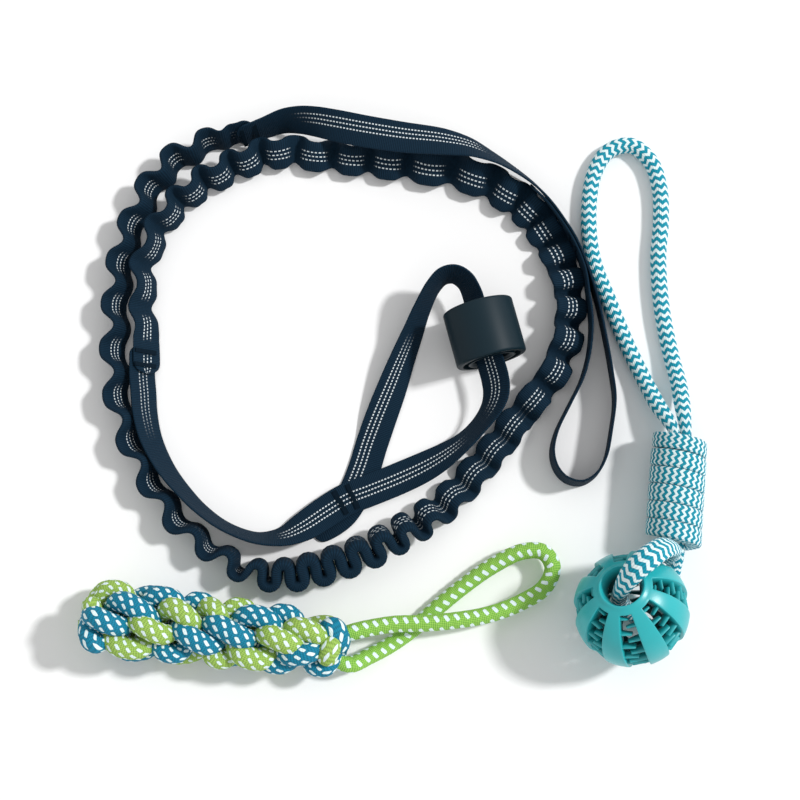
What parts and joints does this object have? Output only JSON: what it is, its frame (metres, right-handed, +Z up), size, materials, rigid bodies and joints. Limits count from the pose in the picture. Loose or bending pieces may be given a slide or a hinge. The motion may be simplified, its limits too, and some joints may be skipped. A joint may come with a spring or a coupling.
{
  "type": "spring pole dog toy",
  "caption": "Shirred bungee leash with a door stopper and strap loops, laid out with a slotted ball on a knotted rope and a braided rope tug.",
  "frame": {"origin": "on the surface the set lies on, under the middle of its outline", "axes": "+X along the longer side of the layout, +Y along the shorter side, from the tug towards the bungee's far bend, +Z up"},
  "size_m": [0.3791, 0.3559, 0.0793],
  "materials": {
    "webbing": "woven black-navy webbing with white dashes",
    "thread": "dense black thread",
    "stopper_rubber": "satin black",
    "ball_rubber": "semi-gloss teal",
    "chevron_rope": "teal and white zigzag braid",
    "tug_rope": "green and teal plaited ropes with white flecks",
    "green_rope": "green braid with white flecks"
  },
  "bodies": {
    "leash": {"anchor_webbing": "webbing", "bungee_sleeve": "webbing", "toy_strap": "webbing", "anchor_sleeve_tack_1": "thread", "anchor_sleeve_tack_2": "thread", "anchor_loop_tack_1": "thread", "anchor_loop_tack_2": "thread", "toy_sleeve_tack_1": "thread", "toy_sleeve_tack_2": "thread", "toy_loop_tack_1": "thread", "toy_loop_tack_2": "thread"},
    "stopper": {"door_stopper": "stopper_rubber"},
    "ball_rope": {"rope_hand_loop": "chevron_rope", "rope_knot_wrap": "chevron_rope", "rope_ball_loop": "chevron_rope"},
    "ball": {"treat_ball": "ball_rubber"},
    "tug": {"braided_tug": "tug_rope", "tug_hand_loop": "green_rope"}
  },
  "joints": [
    {"name": "stopper_slide", "type": "slide", "parent": "leash", "child": "stopper", "axis": [-0.2559, 0.9667, 0], "range_m": [-0.008, 0.005]},
    {"name": "ball_rope_lift", "type": "slide", "parent": "leash", "child": "ball_rope", "axis": [0, 0, 1], "range_m": [0, 0.12]},
    {"name": "ball_spin", "type": "hinge", "parent": "ball_rope", "child": "ball", "pos_m": [0.1381, -0.1377, 0.037], "axis": [-0.2899, 0.3699, 0.8827], "continuous": true},
    {"name": "tug_lift", "type": "slide", "parent": "leash", "child": "tug", "axis": [0, 0, 1], "range_m": [0, 0.12]}
  ]
}
